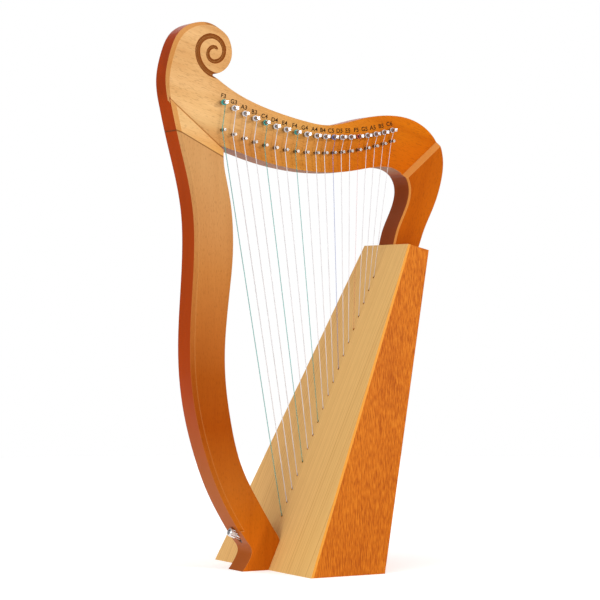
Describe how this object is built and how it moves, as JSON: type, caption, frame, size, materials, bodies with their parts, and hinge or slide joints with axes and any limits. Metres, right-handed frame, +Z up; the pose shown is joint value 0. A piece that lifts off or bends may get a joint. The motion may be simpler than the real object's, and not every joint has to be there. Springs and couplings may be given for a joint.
{
  "type": "lap harp",
  "caption": "Small lap harp: curved pillar, carved scroll, neck with tuning pins and guide pins, tapered soundbox leaning back, strings with coils and knots.",
  "frame": {"origin": "bottom centre: the middle of the harp's footprint, on the surface it stands on", "axes": "+Z up; +X in the plane of the frame, from the pillar towards the soundbox; +Y across, away from the side that carries the tuning pins"},
  "size_m": [0.3939, 0.248, 0.674],
  "materials": {
    "frame_wood": "glossy clear varnish",
    "soundboard_wood": "satin varnish",
    "box_wood": "satin varnish",
    "inner_wood": "bare",
    "pin_steel": "plated",
    "bridge_steel": "plated",
    "bolt_steel": "polished",
    "washer_steel": "plated",
    "insert_brass": "turned",
    "string_clear": "clear nylon",
    "string_green": "dyed nylon",
    "string_blue": "dyed nylon",
    "string_red": "dyed nylon"
  },
  "bodies": {
    "frame": {"back_panel": "box_wood", "bolt_insert": "insert_brass", "bolt_washer": "washer_steel", "bottom_board": "box_wood", "bridge_pins": "bridge_steel", "foot_block": "inner_wood", "neck": "frame_wood", "pillar": "frame_wood", "pillar_bolt": "bolt_steel", "pillar_dowels": "inner_wood", "shoulder_arm": "frame_wood", "shoulder_dowels": "inner_wood", "side_panel_far": "box_wood", "side_panel_near": "box_wood", "soundboard": "soundboard_wood", "string_A3": "string_clear", "string_A4": "string_clear", "string_A5": "string_clear", "string_B3": "string_clear", "string_B4": "string_clear", "string_B5": "string_clear", "string_C4": "string_green", "string_C5": "string_blue", "string_C6": "string_clear", "string_D4": "string_clear", "string_D5": "string_clear", "string_E4": "string_clear", "string_E5": "string_clear", "string_F3": "string_green", "string_F4": "string_green", "string_F5": "string_red", "string_G3": "string_clear", "string_G4": "string_clear", "string_G5": "string_clear", "string_rib": "inner_wood", "top_block": "inner_wood"},
    "pin_F3": {"tuning_pin_F3": "pin_steel"},
    "pin_G3": {"tuning_pin_G3": "pin_steel"},
    "pin_A3": {"tuning_pin_A3": "pin_steel"},
    "pin_B3": {"tuning_pin_B3": "pin_steel"},
    "pin_C4": {"tuning_pin_C4": "pin_steel"},
    "pin_D4": {"tuning_pin_D4": "pin_steel"},
    "pin_E4": {"tuning_pin_E4": "pin_steel"},
    "pin_F4": {"tuning_pin_F4": "pin_steel"},
    "pin_G4": {"tuning_pin_G4": "pin_steel"},
    "pin_A4": {"tuning_pin_A4": "pin_steel"},
    "pin_B4": {"tuning_pin_B4": "pin_steel"},
    "pin_C5": {"tuning_pin_C5": "pin_steel"},
    "pin_D5": {"tuning_pin_D5": "pin_steel"},
    "pin_E5": {"tuning_pin_E5": "pin_steel"},
    "pin_F5": {"tuning_pin_F5": "pin_steel"},
    "pin_G5": {"tuning_pin_G5": "pin_steel"},
    "pin_A5": {"tuning_pin_A5": "pin_steel"},
    "pin_B5": {"tuning_pin_B5": "pin_steel"},
    "pin_C6": {"tuning_pin_C6": "pin_steel"}
  },
  "joints": [
    {"name": "pin_F3_turn", "type": "hinge", "parent": "frame", "child": "pin_F3", "pos_m": [-0.1225, -0.0125, 0.57569], "axis": [0, -1, 0], "continuous": true},
    {"name": "pin_G3_turn", "type": "hinge", "parent": "frame", "child": "pin_G3", "pos_m": [-0.10785, -0.0125, 0.56902], "axis": [0, -1, 0], "continuous": true},
    {"name": "pin_A3_turn", "type": "hinge", "parent": "frame", "child": "pin_A3", "pos_m": [-0.0932, -0.0125, 0.56301], "axis": [0, -1, 0], "continuous": true},
    {"name": "pin_B3_turn", "type": "hinge", "parent": "frame", "child": "pin_B3", "pos_m": [-0.07855, -0.0125, 0.55766], "axis": [0, -1, 0], "continuous": true},
    {"name": "pin_C4_turn", "type": "hinge", "parent": "frame", "child": "pin_C4", "pos_m": [-0.0639, -0.0125, 0.55297], "axis": [0, -1, 0], "continuous": true},
    {"name": "pin_D4_turn", "type": "hinge", "parent": "frame", "child": "pin_D4", "pos_m": [-0.04925, -0.0125, 0.54894], "axis": [0, -1, 0], "continuous": true},
    {"name": "pin_E4_turn", "type": "hinge", "parent": "frame", "child": "pin_E4", "pos_m": [-0.0346, -0.0125, 0.54558], "axis": [0, -1, 0], "continuous": true},
    {"name": "pin_F4_turn", "type": "hinge", "parent": "frame", "child": "pin_F4", "pos_m": [-0.01995, -0.0125, 0.54287], "axis": [0, -1, 0], "continuous": true},
    {"name": "pin_G4_turn", "type": "hinge", "parent": "frame", "child": "pin_G4", "pos_m": [-0.0053, -0.0125, 0.54082], "axis": [0, -1, 0], "continuous": true},
    {"name": "pin_A4_turn", "type": "hinge", "parent": "frame", "child": "pin_A4", "pos_m": [0.00935, -0.0125, 0.53944], "axis": [0, -1, 0], "continuous": true},
    {"name": "pin_B4_turn", "type": "hinge", "parent": "frame", "child": "pin_B4", "pos_m": [0.0217, -0.0125, 0.53879], "axis": [0, -1, 0], "continuous": true},
    {"name": "pin_C5_turn", "type": "hinge", "parent": "frame", "child": "pin_C5", "pos_m": [0.03405, -0.0125, 0.5386], "axis": [0, -1, 0], "continuous": true},
    {"name": "pin_D5_turn", "type": "hinge", "parent": "frame", "child": "pin_D5", "pos_m": [0.0464, -0.0125, 0.53889], "axis": [0, -1, 0], "continuous": true},
    {"name": "pin_E5_turn", "type": "hinge", "parent": "frame", "child": "pin_E5", "pos_m": [0.05875, -0.0125, 0.53965], "axis": [0, -1, 0], "continuous": true},
    {"name": "pin_F5_turn", "type": "hinge", "parent": "frame", "child": "pin_F5", "pos_m": [0.0711, -0.0125, 0.54087], "axis": [0, -1, 0], "continuous": true},
    {"name": "pin_G5_turn", "type": "hinge", "parent": "frame", "child": "pin_G5", "pos_m": [0.08345, -0.0125, 0.54257], "axis": [0, -1, 0], "continuous": true},
    {"name": "pin_A5_turn", "type": "hinge", "parent": "frame", "child": "pin_A5", "pos_m": [0.0958, -0.0125, 0.54473], "axis": [0, -1, 0], "continuous": true},
    {"name": "pin_B5_turn", "type": "hinge", "parent": "frame", "child": "pin_B5", "pos_m": [0.10815, -0.0125, 0.54737], "axis": [0, -1, 0], "continuous": true},
    {"name": "pin_C6_turn", "type": "hinge", "parent": "frame", "child": "pin_C6", "pos_m": [0.1205, -0.0125, 0.55047], "axis": [0, -1, 0], "continuous": true}
  ]
}
